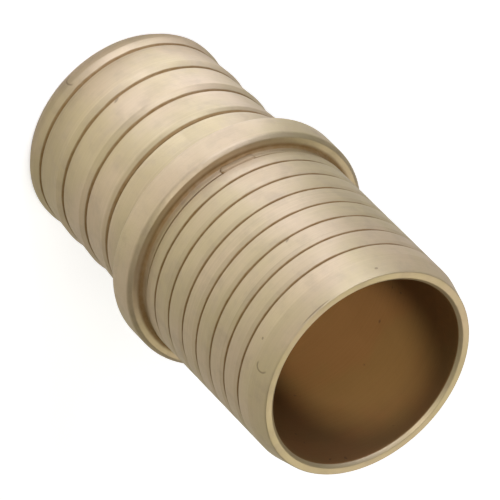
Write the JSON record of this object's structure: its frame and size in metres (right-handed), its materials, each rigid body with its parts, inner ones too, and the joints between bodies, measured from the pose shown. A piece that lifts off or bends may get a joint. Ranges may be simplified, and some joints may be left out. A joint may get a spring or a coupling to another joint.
{
  "type": "pex crimp fitting",
  "caption": "Straight bronze insert coupling for crimped plastic tube, with a flange between a coarse-barbed insert and a fine-ribbed insert of larger diameter.",
  "frame": {"origin": "centre of the end face of the coarse-barbed insert", "axes": "+Z along the bore, from the coarse-barbed end up to the fine-ribbed end; X and Y are equivalent, apart from three small cast pads beside the flange"},
  "size_m": [0.0264, 0.0262, 0.0452],
  "materials": {
    "bronze": "pale cast and turned bronze, satin, with fine turning marks"
  },
  "bodies": {
    "root": {"fitting_body": "bronze"}
  },
  "joints": []
}
